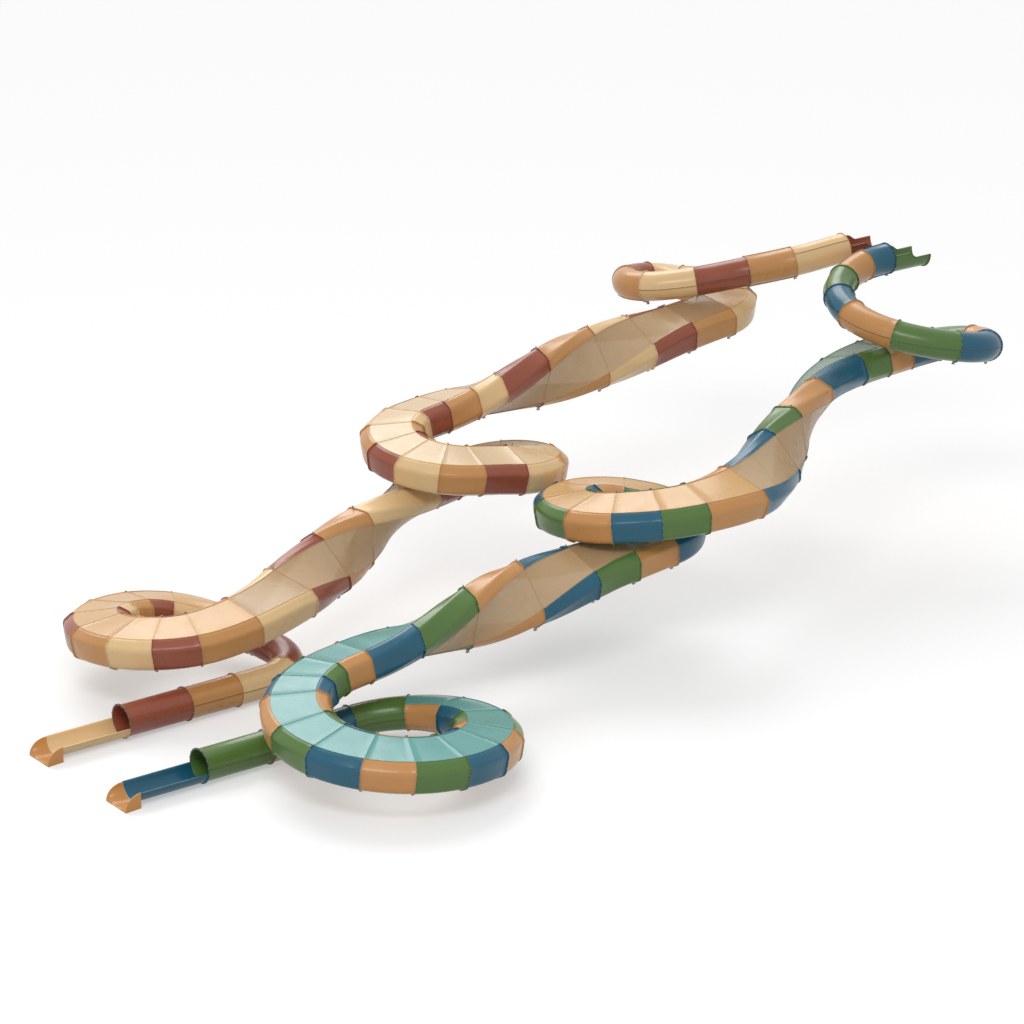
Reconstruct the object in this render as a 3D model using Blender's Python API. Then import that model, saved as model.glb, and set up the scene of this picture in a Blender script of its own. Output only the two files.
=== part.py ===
"""Two large water flumes side by side: an entry trough, closed tubes, a flattened rolling section and a run-out each."""

import bisect
import math

import bmesh
import bpy
from mathutils import Vector

# Closed tube, in metres
TUBE_BORE = 0.80
WALL = 0.010
TUBE_RADIUS = TUBE_BORE / 2 + WALL

# Flattened section: two flat panels between a ride edge and a hanging edge
RIDE_WIDTH = 1.69
RIDE_HEIGHT = 0.86
PANEL_WIDTH = 1.21
EDGE_FACET = 0.52
EDGE_TILT = 8.0

# Bolted flanges round every joint
FLANGE_HEIGHT = 0.040
FLANGE_PLATE = 0.012
JOINT_GAP = 0.0003

# The exit tubes lie on their flanges, and each grade blends into the next over this length
EXIT_HEIGHT = TUBE_RADIUS + FLANGE_HEIGHT
GRADE_BLEND = 0.50

# Entry troughs
ENTRY_LENGTH = 1.20
ENTRY_SHOULDER = 0.50
ENTRY_SHOULDER_TOP = 0.18
ENTRY_RAMP = 0.15
ENTRY_WALL_TOP = 0.02

# Run-outs and end stops
RUNOUT_LENGTH = 1.90
RUNOUT_WALL_TOP = -0.05
STOP_LENGTH = 0.45
STOP_WIDTH = 0.90
STOP_FLOOR = 0.030
STOP_LIP = 0.020
STOP_STEPS = 5

# How far apart the two exits lie
EXIT_SPACING = 3.40
EXIT_STAGGER = -0.11

# Steps used to draw the curves
ROUTE_STEP = 0.02
TURN_PER_STEP = 26.0
ROLL_PER_STEP = 10.0
TROUGH_SIDES = 6

# Tight turns keep this much room inside the hanging edge
COOL_LOOP_ROOM = 0.568
COOL_RETURN_ROOM = 0.241
WARM_TURN_ROOM = 0.152
WARM_RETURN_ROOM = 0.134


def straight(name, length, grade):
    return {"name": name, "length": length, "turn": 0.0, "grade": grade}


def bend(name, radius, turn, grade):
    return {"name": name, "length": radius * math.radians(abs(turn)), "turn": turn, "grade": grade}


def tight(name, room, turn, grade):
    return bend(name, RIDE_WIDTH / 2 + room, turn, grade)


# Routes run downhill: bends turn left where positive, in degrees, and a grade is the fall along the plan length
COOL_ROUTE = (
    straight("entry", 0.55, 0.021),
    bend("hook", 2.18, 117.1, 0.181),
    bend("ease", 2.78, 47.3, 0.158),
    bend("first_turn", 0.93, 166.2, 0.176),
    bend("swing", 4.31, 67.2, 0.111),
    straight("first_drop", 4.63, 0.138),
    bend("loop_in", 3.69, -76.6, 0.057),
    tight("upper_loop", COOL_LOOP_ROOM, -182.4, 0.124),
    straight("loop_side", 0.25, 0.138),
    tight("loop_return", COOL_RETURN_ROOM, -134.1, 0.149),
    straight("long_drop", 10.02, 0.099),
    bend("loop_start", 2.46, 59.8, 0.125),
    bend("lower_loop", 2.31, 299.4, 0.095),
    straight("exit", 4.03, 0.0),
)
WARM_ROUTE = (
    straight("entry", 0.38, 0.020),
    bend("entry_bend", 4.49, -16.9, 0.171),
    straight("entry_run", 1.93, 0.138),
    bend("ease", 4.38, -23.1, 0.153),
    bend("first_turn", 1.01, -184.4, 0.135),
    straight("cross", 0.78, 0.135),
    tight("wide_turn", WARM_TURN_ROOM, -127.0, 0.143),
    straight("first_drop", 10.27, 0.086),
    bend("upper_loop", 1.52, 169.0, 0.104),
    straight("loop_side", 1.14, 0.156),
    tight("loop_return", WARM_RETURN_ROOM, 182.6, 0.165),
    bend("swing", 5.69, 28.1, 0.134),
    straight("long_drop", 5.43, 0.148),
    bend("loop_in", 4.90, -28.4, 0.145),
    bend("loop_start", 2.02, -50.3, 0.097),
    bend("lower_loop", 1.95, -192.5, 0.129),
    bend("loop_out", 2.67, -6.8, 0.097),
    straight("under_pass", 1.53, 0.137),
    bend("elbow", 0.97, -103.0, 0.122),
    straight("exit", 4.38, 0.0),
)

# Where the section widens and rolls: (route part, share of its length, value)
COOL_WIDTH_KEYS = (("first_turn", 0.40, 0.0), ("swing", 0.40, 1.0), ("lower_loop", 0.54, 1.0), ("lower_loop", 0.95, 0.0))
COOL_ROLL_KEYS = (
    ("swing", 0.32, EDGE_TILT),
    ("loop_in", 0.63, 180 - EDGE_TILT),
    ("long_drop", 0.15, 180 - EDGE_TILT),
    ("long_drop", 0.95, EDGE_TILT),
    ("lower_loop", 0.52, EDGE_TILT),
    ("exit", 0.12, 0.0),
)
WARM_WIDTH_KEYS = (("first_turn", 0.60, 0.0), ("wide_turn", 0.25, 1.0), ("lower_loop", 0.62, 1.0), ("under_pass", 0.1, 0.0))
WARM_ROLL_KEYS = (
    ("wide_turn", 0.25, 180 - EDGE_TILT),
    ("first_drop", 0.07, 180 - EDGE_TILT),
    ("first_drop", 0.98, EDGE_TILT),
    ("swing", 0.29, EDGE_TILT),
    ("loop_in", 0.42, 180 - EDGE_TILT),
    ("lower_loop", 0.65, 180 - EDGE_TILT),
    ("under_pass", 0.50, 180.0),
)

# Bolted segments by zone, as plan lengths; the last tube takes what is left of the route
COOL_ZONES = (
    ("upper_tube", (0.78, 0.99, 1.08, 0.99, 1.52, 1.67)),
    ("turn_tube", (1.23, 1.04, 1.00, 1.00)),
    ("upper_drop", (0.90, 1.14, 2.30, 1.82, 1.34, 2.20)),
    ("upper_loop", (1.55, 1.06, 1.04, 0.82, 0.91, 1.18, 1.39, 1.43)),
    ("lower_drop", (1.57, 1.23, 1.30, 1.71, 1.89, 1.86)),
    ("lower_loop", (1.54, 0.93, 0.82, 0.82, 1.27, 0.98, 1.05, 0.96, 1.01, 0.99, 0.85, 1.20, 1.20, 1.20, 1.50, 1.25)),
    ("exit_tube", (1.18, None)),
)
WARM_ZONES = (
    ("upper_tube", (1.56, 1.33, 1.46, 1.38, 1.29, 0.94)),
    ("turn_tube", (0.89, 0.89, 0.89, 0.94)),
    ("upper_drop", (1.37, 1.41, 1.54, 1.95, 1.63, 0.91)),
    ("upper_loop", (0.98, 0.93, 0.84, 0.84, 0.73, 0.80, 0.80, 1.16, 0.77, 0.92)),
    ("lower_drop", (0.94, 0.94, 0.94, 0.94, 2.58, 1.51, 1.61, 1.74)),
    ("lower_loop", (1.38, 0.86, 0.88, 1.02, 0.96, 0.95, 0.91, 0.91, 1.07, 1.40)),
    ("exit_tube", (2.01, 1.60, 1.46, None)),
)
SEGMENTS_PER_NODE = 2

# Gelcoat colours, in the order in which the segments repeat
BLUE = (0.040, 0.130, 0.200)
ORANGE = (0.400, 0.210, 0.100)
GREEN = (0.110, 0.195, 0.070)
RED = (0.235, 0.075, 0.050)
CREAM = (0.560, 0.400, 0.230)
GLOSS = 0.28


def gelcoat(name, color):
    material = bpy.data.materials.get(name)
    if material is None:
        material = bpy.data.materials.new(name)
        material.use_nodes = True
        shader = material.node_tree.nodes["Principled BSDF"]
        shader.inputs["Base Color"].default_value = (*color, 1.0)
        shader.inputs["Roughness"].default_value = GLOSS
        shader.inputs["Metallic"].default_value = 0.0
    return material


class Flume:
    """A route with its centre line, its frames, its width and its roll."""

    def __init__(self, route, widthKeys, rollKeys, exitPoint):
        self.parts = route
        self.length = sum(part["length"] for part in route)
        self.widthKeys = self.placed(widthKeys)
        self.rollKeys = self.placed(rollKeys)
        self.trace(exitPoint)

    def placed(self, keys):
        starts, total = {}, 0.0
        for part in self.parts:
            starts[part["name"]] = (total, part["length"])
            total += part["length"]
        return [(starts[name][0] + share * starts[name][1], value) for name, share, value in keys]

    def partAt(self, along):
        for part in self.parts:
            if along < part["length"] or part is self.parts[-1]:
                return part
            along -= part["length"]

    def gradeAt(self, along):
        shares = (-1.0, -0.5, 0.0, 0.5, 1.0)
        return sum(self.partAt(along + share * GRADE_BLEND)["grade"] for share in shares) / len(shares)

    def trace(self, exitPoint):
        """Walks the route in small steps, then moves it so that it ends at the exit, heading along -X."""
        along = 0.0
        heading = math.pi - math.radians(sum(part["turn"] for part in self.parts))
        point = Vector((0.0, 0.0, 0.0))
        self.places, self.points, self.headings, self.grades = [along], [point.copy()], [heading], [self.gradeAt(0.0)]
        for part in self.parts:
            count = math.ceil(part["length"] / ROUTE_STEP)
            step = part["length"] / count
            change = math.radians(part["turn"]) / count
            for _ in range(count):
                middle = heading + change / 2
                grade = self.gradeAt(along + step / 2)
                point += step * Vector((math.cos(middle), math.sin(middle), -grade))
                along += step
                heading += change
                self.places.append(along)
                self.points.append(point.copy())
                self.headings.append(heading)
                self.grades.append(grade)
        shift = exitPoint - self.points[-1]
        self.points = [point + shift for point in self.points]

    def frame(self, along):
        """Centre point, direction of travel, left and up at a plan length along the route."""
        low = min(max(bisect.bisect_right(self.places, along) - 1, 0), len(self.places) - 2)
        share = (along - self.places[low]) / (self.places[low + 1] - self.places[low])
        center = self.points[low].lerp(self.points[low + 1], share)
        heading = self.headings[low] * (1 - share) + self.headings[low + 1] * share
        grade = self.grades[low] * (1 - share) + self.grades[low + 1] * share
        ahead = Vector((math.cos(heading), math.sin(heading), -grade)).normalized()
        left = Vector((-math.sin(heading), math.cos(heading), 0.0))
        return center, ahead, left, ahead.cross(left)


def eased(keys, along):
    """Value at a place along the route, easing from each key to the next."""
    if along <= keys[0][0]:
        return keys[0][1]
    for (start, first), (end, last) in zip(keys, keys[1:]):
        if along <= end:
            share = (along - start) / (end - start)
            return first + (last - first) * share * share * (3 - 2 * share)
    return keys[-1][1]


def profile(widening, grow, corners_only):
    """Outline of the section: a twelve-sided tube that widens into an octagon with extra points on its panels."""
    across, half = RIDE_WIDTH / 2 + grow, RIDE_HEIGHT / 2 + grow
    panel, facet = PANEL_WIDTH / 2 + 0.4 * grow, EDGE_FACET / 2 + 0.4 * grow
    quarter = ((across, facet), (panel, half)) if corners_only else ((across, facet), (panel, half), (panel / 3, half))
    angles = (15, 45) if corners_only else (15, 45, 75)
    radius = TUBE_RADIUS + grow
    points = []
    for (wide, high), angle in zip(quarter, angles):
        turn = math.radians(angle)
        points.append((
            (1 - widening) * radius * math.cos(turn) + widening * wide,
            (1 - widening) * radius * math.sin(turn) + widening * high,
        ))
    top = points + [(-wide, high) for wide, high in reversed(points)]
    return top + [(-wide, -high) for wide, high in top]


def ring(flume, joint, shift, grow, corners_only):
    """Section outline in space, square to the route at a joint and moved along it."""
    center, ahead, left, up = flume.frame(joint)
    roll = math.radians(eased(flume.rollKeys, joint))
    sideways = left * math.cos(roll) + up * math.sin(roll)
    over = up * math.cos(roll) - left * math.sin(roll)
    outline = profile(eased(flume.widthKeys, joint), grow, corners_only)
    return [center + ahead * shift + sideways * wide + over * high for wide, high in outline]


def loft(name, rings, material, lining=()):
    """Joins closed outlines one after another. A lining runs back inside them; without one, both ends are capped."""
    bm = bmesh.new()
    loops = [[bm.verts.new(point) for point in outline] for outline in rings]
    inner = [[bm.verts.new(point) for point in outline] for outline in lining]
    count = len(loops[0])
    for first, second in zip(loops, loops[1:]):
        for i in range(count):
            j = (i + 1) % count
            bm.faces.new((first[i], first[j], second[j]))
            bm.faces.new((first[i], second[j], second[i]))
    # The lining's faces are split along the same diagonals, so that the wall keeps its thickness where it twists
    for first, second in zip(inner, inner[1:]):
        for i in range(count):
            j = (i + 1) % count
            bm.faces.new((second[j], first[j], first[i]))
            bm.faces.new((second[i], second[j], first[i]))
    if lining:
        for i in range(count):
            j = (i + 1) % count
            bm.faces.new((inner[0][i], inner[0][j], loops[0][j], loops[0][i]))
            bm.faces.new((loops[-1][i], loops[-1][j], inner[-1][j], inner[-1][i]))
    else:
        bm.faces.new(loops[0][::-1])
        bm.faces.new(loops[-1])
    bmesh.ops.remove_doubles(bm, verts=bm.verts, dist=1e-5)
    if bm.calc_volume(signed=True) < 0:
        bmesh.ops.reverse_faces(bm, faces=bm.faces)
    mesh = bpy.data.meshes.new(name)
    bm.to_mesh(mesh)
    bm.free()
    mesh.materials.append(material)
    mesh.shade_smooth()
    mesh.set_sharp_from_angle(angle=math.radians(25))
    node = bpy.data.objects.new(name, mesh)
    bpy.context.scene.collection.objects.link(node)
    return node


def stations(flume, start, end):
    """Places inside a segment where its outline is drawn."""
    turned = 0.0
    for i in range(20):
        part = flume.partAt(start + (end - start) * (i + 0.5) / 20)
        turned += abs(part["turn"]) / part["length"] * (end - start) / 20
    rolled = abs(eased(flume.rollKeys, end) - eased(flume.rollKeys, start))
    steps = max(1, math.ceil(turned / TURN_PER_STEP), math.ceil(rolled / ROLL_PER_STEP))
    return [start + (end - start) * i / steps for i in range(1, steps)]


def shell(flume, name, joints, material):
    """Bolted segments from the first joint to the last, as one wall with a pair of flange plates at each joint."""
    widths = [eased(flume.widthKeys, joint) for joint in joints]
    corners_only = min(widths) > 0.999

    def outline(joint, shift, grow):
        return ring(flume, joint, shift, grow, corners_only)

    outer, inner = [], []
    last = len(joints) - 1
    for i, joint in enumerate(joints):
        before = -FLANGE_PLATE if i else JOINT_GAP / 2
        after = FLANGE_PLATE if i < last else -JOINT_GAP / 2
        if i:
            outer.append(outline(joint, before, 0.0))
        outer.append(outline(joint, before, FLANGE_HEIGHT))
        outer.append(outline(joint, after, FLANGE_HEIGHT))
        if i < last:
            outer.append(outline(joint, after, 0.0))
        end = JOINT_GAP / 2 if i == 0 else -JOINT_GAP / 2 if i == last else 0.0
        inner.append(outline(joint, end, -WALL))
        if i < last:
            for along in stations(flume, joint, joints[i + 1]):
                outer.append(outline(along, 0.0, 0.0))
                inner.append(outline(along, 0.0, -WALL))
    return loft(name, outer, material, inner)


def trough_outline(place, wall_top, grow):
    """Round-bottomed channel with upright walls, as a closed outline, looking along the route."""
    center, left, up = place
    outer, inner = TUBE_RADIUS + grow, TUBE_RADIUS - WALL
    turns = [math.pi + math.pi * i / TROUGH_SIDES for i in range(TROUGH_SIDES + 1)]
    points = [(outer * math.cos(turn), outer * math.sin(turn)) for turn in turns]
    lining = [(inner * math.cos(turn), inner * math.sin(turn)) for turn in turns]
    if wall_top > 0:
        points = [(-outer, wall_top)] + points + [(outer, wall_top)]
        lining = [(-inner, wall_top)] + lining + [(inner, wall_top)]
    else:
        points = [(-outer, wall_top)] + points[1:-1] + [(outer, wall_top)]
        lining = [(-inner, wall_top)] + lining[1:-1] + [(inner, wall_top)]
    return [center + left * wide + up * high for wide, high in points + lining[::-1]]


def trough(flume, name, joint, direction, stops, flange_ends, material):
    """Open channel from a joint, with a U-shaped flange plate at the ends that are asked for."""
    center, ahead, left, up = flume.frame(joint)

    def outline(distance, wall_top, grow=0.0):
        return trough_outline((center + ahead * direction * distance, left, up), wall_top, grow)

    (first, first_top), (last, last_top) = stops[0], stops[-1]
    rings = []
    if flange_ends[0]:
        rings.append(outline(first, first_top, FLANGE_HEIGHT))
        rings.append(outline(first + FLANGE_PLATE, first_top, FLANGE_HEIGHT))
        rings.append(outline(first + FLANGE_PLATE, first_top))
        stops = stops[1:]
    closing = stops[:-1] if flange_ends[1] else stops
    rings += [outline(distance, wall_top) for distance, wall_top in closing]
    if flange_ends[1]:
        rings.append(outline(last - FLANGE_PLATE, last_top))
        rings.append(outline(last - FLANGE_PLATE, last_top, FLANGE_HEIGHT))
        rings.append(outline(last, last_top, FLANGE_HEIGHT))
    return loft(name, rings, material)


def end_stop(flume, name, material):
    """Block that closes the run-out on the floor: a channel between two cheeks whose tops curve down to a lip."""
    center, ahead, left, up = flume.frame(flume.length)
    back = RUNOUT_LENGTH + JOINT_GAP
    back_top = EXIT_HEIGHT + RUNOUT_WALL_TOP
    rings = []
    for i in range(STOP_STEPS + 1):
        share = i / STOP_STEPS
        fall = 1 - math.sqrt(max(0.0, 1 - share * share))
        top = back_top + (STOP_LIP - back_top) * fall
        floor = STOP_FLOOR + (STOP_LIP - 0.002 - STOP_FLOOR) * share
        half = TUBE_RADIUS + (STOP_WIDTH / 2 - TUBE_RADIUS) * share
        groove = half - 2 * WALL
        outline = [(-half, 0.0), (-half, top)]
        for k in range(TROUGH_SIDES + 1):
            turn = math.pi + math.pi * k / TROUGH_SIDES
            outline.append((groove * math.cos(turn), top + (top - floor) * math.sin(turn)))
        outline += [(half, top), (half, 0.0)]
        middle = center + ahead * (back + STOP_LENGTH * share)
        rings.append([Vector((middle.x, middle.y, high)) + left * wide for wide, high in outline])
    return loft(name, rings, material)


def build_flume(prefix, flume, zones, colors):
    """Makes the nodes of one flume: entry trough, bolted shells in pairs, run-out trough and end stop."""
    known = sum(length for _, lengths in zones for length in lengths if length)
    paints = [gelcoat(f"{prefix}_{color}", value) for color, value in colors]
    entry_stops = [
        (JOINT_GAP, ENTRY_SHOULDER_TOP),
        (ENTRY_SHOULDER, ENTRY_SHOULDER_TOP),
        (ENTRY_SHOULDER + ENTRY_RAMP, ENTRY_WALL_TOP),
        (ENTRY_LENGTH, ENTRY_WALL_TOP),
    ]
    trough(flume, f"{prefix}_entry_trough", 0.0, -1, entry_stops, (True, True), paints[-1])
    along, segment = 0.0, 0
    for zone, lengths in zones:
        joints = [along]
        for length in lengths:
            along += flume.length - known if length is None else length
            joints.append(along)
        for i in range(0, len(lengths), SEGMENTS_PER_NODE):
            number = i // SEGMENTS_PER_NODE + 1
            chosen = joints[i : i + SEGMENTS_PER_NODE + 1]
            shell(flume, f"{prefix}_{zone}_{number}", chosen, paints[(segment + i) % len(paints)])
        segment += len(lengths)
    runout_stops = [(JOINT_GAP, RUNOUT_WALL_TOP), (RUNOUT_LENGTH, RUNOUT_WALL_TOP)]
    trough(flume, f"{prefix}_runout_trough", flume.length, 1, runout_stops, (True, False), paints[segment % len(paints)])
    end_stop(flume, f"{prefix}_end_stop", gelcoat("stop_orange", ORANGE))


def main():
    for item in list(bpy.data.objects):
        bpy.data.objects.remove(item, do_unlink=True)
    # The origin lies under the middle of the cool flume's end stop, on the floor
    reach = RUNOUT_LENGTH + JOINT_GAP + STOP_LENGTH / 2
    cool = Flume(COOL_ROUTE, COOL_WIDTH_KEYS, COOL_ROLL_KEYS, Vector((reach, 0.0, EXIT_HEIGHT)))
    exit_point = Vector((reach + EXIT_STAGGER, EXIT_SPACING, EXIT_HEIGHT))
    warm = Flume(WARM_ROUTE, WARM_WIDTH_KEYS, WARM_ROLL_KEYS, exit_point)
    build_flume("cool", cool, COOL_ZONES, (("blue", BLUE), ("orange", ORANGE), ("green", GREEN)))
    build_flume("warm", warm, WARM_ZONES, (("cream", CREAM), ("orange", ORANGE), ("red", RED)))


main()
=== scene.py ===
import bisect
import functools
import math

import bmesh
import bpy
from mathutils import Matrix, Vector


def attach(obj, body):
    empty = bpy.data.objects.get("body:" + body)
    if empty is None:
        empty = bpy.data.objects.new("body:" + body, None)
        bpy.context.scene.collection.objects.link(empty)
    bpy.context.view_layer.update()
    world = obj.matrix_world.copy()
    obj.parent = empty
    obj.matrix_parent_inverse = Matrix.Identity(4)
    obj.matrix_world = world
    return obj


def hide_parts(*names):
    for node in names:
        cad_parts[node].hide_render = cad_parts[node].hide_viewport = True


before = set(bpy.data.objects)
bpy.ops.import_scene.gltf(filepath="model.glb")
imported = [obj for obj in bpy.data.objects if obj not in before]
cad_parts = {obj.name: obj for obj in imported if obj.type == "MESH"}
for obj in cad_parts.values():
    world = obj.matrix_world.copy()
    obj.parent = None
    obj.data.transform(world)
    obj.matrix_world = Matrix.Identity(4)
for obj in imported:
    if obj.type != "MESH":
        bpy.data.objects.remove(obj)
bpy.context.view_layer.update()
print("frame loaded:", len(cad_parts), "nodes")


# Sizes of the moulded section, in metres, that both flumes share
section = {
    "tubeRadius": 0.41,
    "wall": 0.010,
    "rideWidth": 1.69,
    "rideHeight": 0.86,
    "panelWidth": 1.21,
    "edgeFacet": 0.52,
    "edgeTilt": 8.0,
    "cornerSoftness": 6.0,
    "panelSeam": 48.5,
    "panelStart": 0.45,
    "flangeHeight": 0.036,
    "exitHeight": 0.450,
    "flangeFillet": 0.008,
    "panelFlange": 0.012,
    "jointGap": 0.002,
    "roundBelow": 0.001,
}
exitHeight = section["exitHeight"]
rideReach = section["rideWidth"] / 2


# Routes run downhill: (name, length, turn to the left in degrees, fall along the plan length)
def straight(name, length, grade):
    return (name, length, 0.0, grade)


def bend(name, radius, turn, grade):
    return (name, radius * math.radians(abs(turn)), turn, grade)


coolFlume = {
    "prefix": "cool",
    "exit": (2.1253, 0.0, exitHeight),
    "route": (
        straight("entry", 0.55, 0.021),
        bend("hook", 2.18, 117.1, 0.181),
        bend("ease", 2.78, 47.3, 0.158),
        bend("firstTurn", 0.93, 166.2, 0.176),
        bend("swing", 4.31, 67.2, 0.111),
        straight("firstDrop", 4.63, 0.138),
        bend("loopIn", 3.69, -76.6, 0.057),
        bend("upperLoop", rideReach + 0.568, -182.4, 0.124),
        straight("loopSide", 0.25, 0.138),
        bend("loopReturn", rideReach + 0.241, -134.1, 0.149),
        straight("longDrop", 10.02, 0.099),
        bend("loopStart", 2.46, 59.8, 0.125),
        bend("lowerLoop", 2.31, 299.4, 0.095),
        straight("exit", 4.03, 0.0),
    ),
    "widths": (
        ("firstTurn", 0.40, 0.0),
        ("swing", 0.40, 1.0),
        ("lowerLoop", 0.54, 1.0),
        ("lowerLoop", 0.95, 0.0),
    ),
    "rolls": (
        ("swing", 0.32, section["edgeTilt"]),
        ("loopIn", 0.63, 180 - section["edgeTilt"]),
        ("longDrop", 0.15, 180 - section["edgeTilt"]),
        ("longDrop", 0.95, section["edgeTilt"]),
        ("lowerLoop", 0.52, section["edgeTilt"]),
        ("exit", 0.12, 0.0),
    ),
    "zones": (
        ("upper_tube", (0.78, 0.99, 1.08, 0.99, 1.52, 1.67)),
        ("turn_tube", (1.23, 1.04, 1.00, 1.00)),
        ("upper_drop", (0.90, 1.14, 2.30, 1.82, 1.34, 2.20)),
        ("upper_loop", (1.55, 1.06, 1.04, 0.82, 0.91, 1.18, 1.39, 1.43)),
        ("lower_drop", (1.57, 1.23, 1.30, 1.71, 1.89, 1.86)),
        (
            "lower_loop",
            (
                1.54, 0.93, 0.82, 0.82, 1.27, 0.98, 1.05, 0.96,
                1.01, 0.99, 0.85, 1.20, 1.20, 1.20, 1.50, 1.25,
            ),
        ),
        ("exit_tube", (1.18, None)),
    ),
    "colors": ("blue", "orange", "green"),
    "panels": (("teal", "cool_panel"), ("tan", "warm_panel")),
    "clearPanels": (("clearTeal", "clear_panel"), ("clearTan", "clear_panel")),
    "tubeSeams": {
        "upper_tube": (112, 112, 176, 176, 176, 178),
        "turn_tube": (178,),
        "lower_loop": (6,),
        "exit_tube": (6, 3),
    },
}
warmFlume = {
    "prefix": "warm",
    "exit": (2.0153, 3.40, exitHeight),
    "route": (
        straight("entry", 0.38, 0.020),
        bend("entryBend", 4.49, -16.9, 0.171),
        straight("entryRun", 1.93, 0.138),
        bend("ease", 4.38, -23.1, 0.153),
        bend("firstTurn", 1.01, -184.4, 0.135),
        straight("cross", 0.78, 0.135),
        bend("wideTurn", rideReach + 0.152, -127.0, 0.143),
        straight("firstDrop", 10.27, 0.086),
        bend("upperLoop", 1.52, 169.0, 0.104),
        straight("loopSide", 1.14, 0.156),
        bend("loopReturn", rideReach + 0.134, 182.6, 0.165),
        bend("swing", 5.69, 28.1, 0.134),
        straight("longDrop", 5.43, 0.148),
        bend("loopIn", 4.90, -28.4, 0.145),
        bend("loopStart", 2.02, -50.3, 0.097),
        bend("lowerLoop", 1.95, -192.5, 0.129),
        bend("loopOut", 2.67, -6.8, 0.097),
        straight("underPass", 1.53, 0.137),
        bend("elbow", 0.97, -103.0, 0.122),
        straight("exit", 4.38, 0.0),
    ),
    "widths": (
        ("firstTurn", 0.60, 0.0),
        ("wideTurn", 0.25, 1.0),
        ("lowerLoop", 0.62, 1.0),
        ("underPass", 0.1, 0.0),
    ),
    "rolls": (
        ("wideTurn", 0.25, 180 - section["edgeTilt"]),
        ("firstDrop", 0.07, 180 - section["edgeTilt"]),
        ("firstDrop", 0.98, section["edgeTilt"]),
        ("swing", 0.29, section["edgeTilt"]),
        ("loopIn", 0.42, 180 - section["edgeTilt"]),
        ("lowerLoop", 0.65, 180 - section["edgeTilt"]),
        ("underPass", 0.50, 180.0),
    ),
    "zones": (
        ("upper_tube", (1.56, 1.33, 1.46, 1.38, 1.29, 0.94)),
        ("turn_tube", (0.89, 0.89, 0.89, 0.94)),
        ("upper_drop", (1.37, 1.41, 1.54, 1.95, 1.63, 0.91)),
        ("upper_loop", (0.98, 0.93, 0.84, 0.84, 0.73, 0.80, 0.80, 1.16, 0.77, 0.92)),
        ("lower_drop", (0.94, 0.94, 0.94, 0.94, 2.58, 1.51, 1.61, 1.74)),
        ("lower_loop", (1.38, 0.86, 0.88, 1.02, 0.96, 0.95, 0.91, 0.91, 1.07, 1.40)),
        ("exit_tube", (2.01, 1.60, 1.46, None)),
    ),
    "colors": ("cream", "orange", "red"),
    "panels": (("pale", "pale_panel"), ("tan", "warm_panel")),
    "clearPanels": (("clearPale", "clear_panel"), ("clearTan", "clear_panel")),
    "tubeSeams": {
        "upper_tube": (48, 112, 8, 2, -55, 0),
        "turn_tube": (0,),
        "lower_loop": (5,),
        "exit_tube": (5, 8, 10, 4),
    },
}


# Materials: moulded gelcoat that varies a little in tone and gloss, as a mould leaves it
finishes = {
    "blue": (28, 92, 116),
    "orange": (197, 142, 84),
    "green": (84, 117, 57),
    "red": (150, 79, 56),
    "cream": (228, 193, 142),
    "stop": (200, 141, 76),
    "teal": (86, 152, 147),
    "tan": (206, 161, 102),
    "pale": (216, 185, 142),
    "clearTeal": (160, 186, 166),
    "clearTan": (219, 185, 141),
    "clearPale": (224, 198, 160),
    "clearOpacity": 0.56,
    "mottling": 0.03,
    "gloss": (0.24, 0.34),
    "specular": 0.36,
    "coat": 0.10,
    "coatRoughness": 0.12,
    "ripple": 0.015,
    "rippleDepth": 0.02,
    "noiseSpan": (0.3, 0.7),
    "toneNoise": (0.9, 5.0),
    "glossNoise": (2.6, 3.0),
    "rippleNoise": (3.4, 2.0),
}
sealantLook = {"tone": (0.105, 0.098, 0.090), "spread": 0.2, "noise": (18.0, 4.0), "roughness": 0.62}
steelLook = {
    "dark": (0.30, 0.31, 0.32, 1.0),
    "light": (0.46, 0.47, 0.48, 1.0),
    "spangle": 60.0,
    "noise": (25.0, 3.0),
    "gloss": (0.38, 0.55),
    "metallic": 0.85,
}


def linear(value):
    share = value / 255
    return share / 12.92 if share <= 0.04045 else ((share + 0.055) / 1.055) ** 2.4


def startMaterial(name):
    material = bpy.data.materials.new(name)
    material.use_nodes = True
    nodes = material.node_tree.nodes
    return material, nodes, material.node_tree.links, nodes["Principled BSDF"]


def addNoise(nodes, links, place, scale, detail):
    noise = nodes.new("ShaderNodeTexNoise")
    noise.inputs["Scale"].default_value = scale
    noise.inputs["Detail"].default_value = detail
    links.new(place.outputs["Object"], noise.inputs["Vector"])
    return noise


def addTones(nodes, links, noise, color, spread):
    tones = nodes.new("ShaderNodeValToRGB")
    dark, light = tones.color_ramp.elements
    dark.position, light.position = finishes["noiseSpan"]
    dark.color = [value * (1 - spread) for value in color] + [1.0]
    light.color = [min(1.0, value * (1 + spread)) for value in color] + [1.0]
    links.new(noise.outputs["Fac"], tones.inputs["Fac"])
    return tones


def addRange(nodes, links, noise, low, high):
    spread = nodes.new("ShaderNodeMapRange")
    spread.inputs["From Min"].default_value, spread.inputs["From Max"].default_value = finishes["noiseSpan"]
    spread.inputs["To Min"].default_value = low
    spread.inputs["To Max"].default_value = high
    links.new(noise.outputs["Fac"], spread.inputs["Value"])
    return spread


def addBump(nodes, links, noise, shader, strength, depth):
    bump = nodes.new("ShaderNodeBump")
    bump.inputs["Strength"].default_value = strength
    bump.inputs["Distance"].default_value = depth
    links.new(noise.outputs["Fac"], bump.inputs["Height"])
    links.new(bump.outputs["Normal"], shader.inputs["Normal"])


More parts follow.
